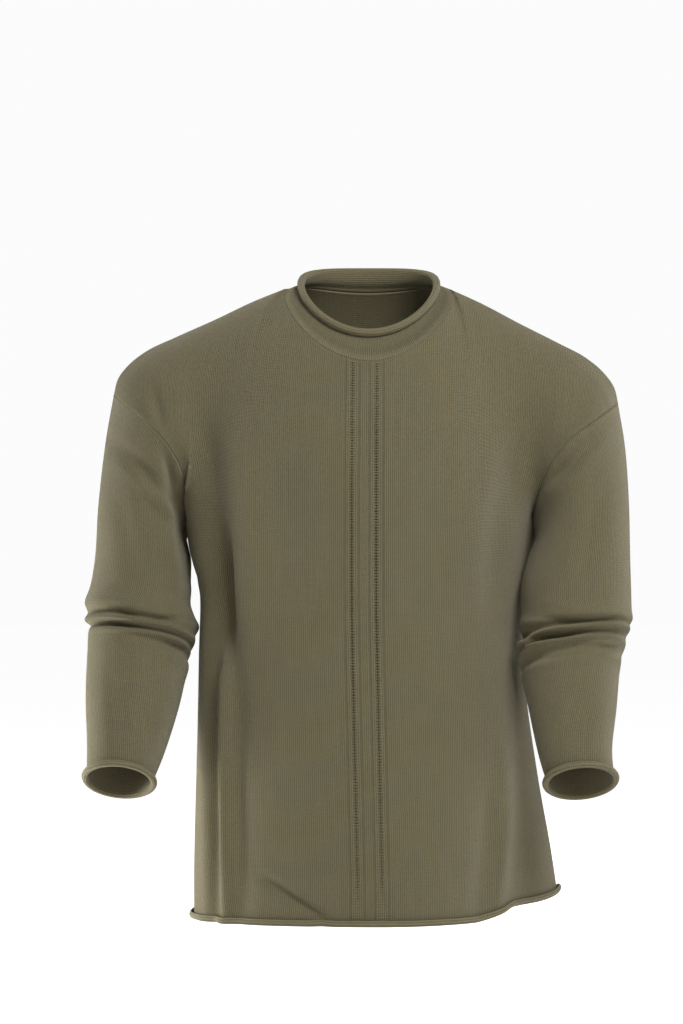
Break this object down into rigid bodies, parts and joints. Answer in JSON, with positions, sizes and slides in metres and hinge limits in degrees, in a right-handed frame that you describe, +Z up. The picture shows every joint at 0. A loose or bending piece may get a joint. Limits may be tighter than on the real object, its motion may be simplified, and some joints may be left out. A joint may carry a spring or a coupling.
{
  "type": "rolled-neck pullover",
  "caption": "Fine-knit pullover as worn, with drop shoulders, long sleeves, a short stand neckband and free rolled edges; hollow and open at neck, cuffs and hem.",
  "frame": {"origin": "middle of the neck base, level with the two points where the shoulder seams meet the neckline, where the wearer's shoulders hold the garment up", "axes": "+Z up, towards the neck opening; the front faces -Y; +X is the viewer's right when the front is seen"},
  "size_m": [0.5764, 0.2813, 0.6939],
  "materials": {
    "front_knit": "matt olive knit",
    "back_knit": "matt olive knit",
    "left_sleeve_knit": "matt olive knit",
    "right_sleeve_knit": "matt olive knit",
    "neckband_knit": "matt olive knit"
  },
  "bodies": {
    "root": {"front_panel": "front_knit", "back_panel": "back_knit", "left_sleeve": "left_sleeve_knit", "right_sleeve": "right_sleeve_knit", "neckband": "neckband_knit"}
  },
  "joints": []
}
